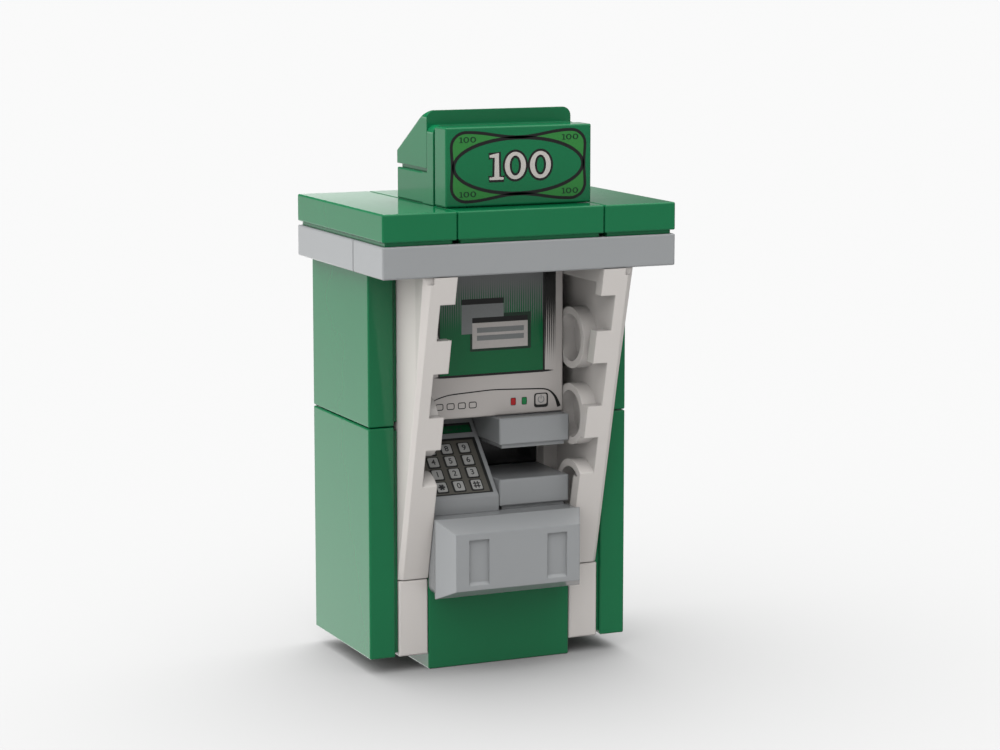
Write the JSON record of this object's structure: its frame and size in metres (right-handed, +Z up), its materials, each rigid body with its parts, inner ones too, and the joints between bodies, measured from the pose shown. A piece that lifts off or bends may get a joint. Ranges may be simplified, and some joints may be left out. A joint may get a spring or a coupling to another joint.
{
  "type": "toy brick cash machine",
  "caption": "Toy cash machine built from interlocking bricks: screen niche between wedge cheeks, sloping keypad, cash slot, front bar, slab roof and sign on top.",
  "frame": {"origin": "middle of the model's footprint box, on the floor", "axes": "+X to the right as seen from the front, +Y to the back, +Z up"},
  "size_m": [0.0318, 0.024, 0.0574],
  "materials": {
    "green_plastic": "moulded ABS, glossy green",
    "grey_plastic": "moulded ABS, glossy medium grey",
    "white_plastic": "moulded ABS, glossy warm white",
    "pale_plastic": "moulded ABS, glossy pale grey",
    "dark_plastic": "moulded ABS, glossy near-black",
    "sign_print": null,
    "screen_print": "glossy pale tile with a printed screen and buttons",
    "keypad_print": "glossy grey slope with a printed keypad and display"
  },
  "bodies": {
    "root": {"base_front_brick": "green_plastic", "base_rear_brick": "green_plastic", "base_plate": "green_plastic", "base_spacer_plate": "dark_plastic", "lower_bracket": "grey_plastic", "keypad_slope": "keypad_print", "lower_slot_tile": "grey_plastic", "slot_spacer_lower": "dark_plastic", "slot_spacer_upper": "dark_plastic", "upper_slot_tile": "grey_plastic", "core_plate_lower": "dark_plastic", "core_plate_upper": "dark_plastic", "core_brick_left": "dark_plastic", "core_brick_right": "dark_plastic", "screen_plate": "pale_plastic", "left_foot_plate": "white_plastic", "right_foot_plate": "white_plastic", "left_backing_plate": "white_plastic", "right_backing_plate": "white_plastic", "left_cheek": "white_plastic", "right_cheek": "white_plastic", "slab_front_plate": "grey_plastic", "slab_rear_plate": "grey_plastic", "roof_tile_front": "green_plastic", "roof_stud_plate": "green_plastic"},
    "front_bar": {"front_bar": "grey_plastic"},
    "screen_face": {"screen_tile": "screen_print"},
    "left_wall_low": {"left_wall_lower": "green_plastic"},
    "left_wall_top": {"left_wall_upper": "green_plastic"},
    "right_wall_low": {"right_wall_lower": "green_plastic"},
    "right_wall_top": {"right_wall_upper": "green_plastic"},
    "roof_left": {"roof_tile_left": "green_plastic"},
    "roof_right": {"roof_tile_right": "green_plastic"},
    "roof_rear": {"roof_tile_rear": "green_plastic"},
    "sign": {"sign_bracket": "green_plastic"},
    "sign_face": {"sign_tile": "sign_print"},
    "sign_cap": {"sign_slope": "green_plastic"}
  },
  "joints": [
    {"name": "front_bar_pull", "type": "slide", "parent": "root", "child": "front_bar", "axis": [0, -1, 0], "range_m": [0, 0.002]},
    {"name": "screen_pull", "type": "slide", "parent": "root", "child": "screen_face", "axis": [0, -1, 0], "range_m": [0, 0.002]},
    {"name": "left_wall_lower_pull", "type": "slide", "parent": "root", "child": "left_wall_low", "axis": [-1, 0, 0], "range_m": [0, 0.002]},
    {"name": "left_wall_upper_pull", "type": "slide", "parent": "root", "child": "left_wall_top", "axis": [-1, 0, 0], "range_m": [0, 0.002]},
    {"name": "right_wall_lower_pull", "type": "slide", "parent": "root", "child": "right_wall_low", "axis": [1, 0, 0], "range_m": [0, 0.002]},
    {"name": "right_wall_upper_pull", "type": "slide", "parent": "root", "child": "right_wall_top", "axis": [1, 0, 0], "range_m": [0, 0.002]},
    {"name": "roof_left_lift", "type": "slide", "parent": "root", "child": "roof_left", "axis": [0, 0, 1], "range_m": [0, 0.002]},
    {"name": "roof_right_lift", "type": "slide", "parent": "root", "child": "roof_right", "axis": [0, 0, 1], "range_m": [0, 0.002]},
    {"name": "roof_rear_lift", "type": "slide", "parent": "root", "child": "roof_rear", "axis": [0, 0, 1], "range_m": [0, 0.002]},
    {"name": "sign_lift", "type": "slide", "parent": "root", "child": "sign", "axis": [0, 0, 1], "range_m": [0, 0.002]},
    {"name": "sign_tile_pull", "type": "slide", "parent": "sign", "child": "sign_face", "axis": [0, -1, 0], "range_m": [0, 0.002]},
    {"name": "sign_slope_lift", "type": "slide", "parent": "sign", "child": "sign_cap", "axis": [0, 0, 1], "range_m": [0, 0.002]}
  ]
}
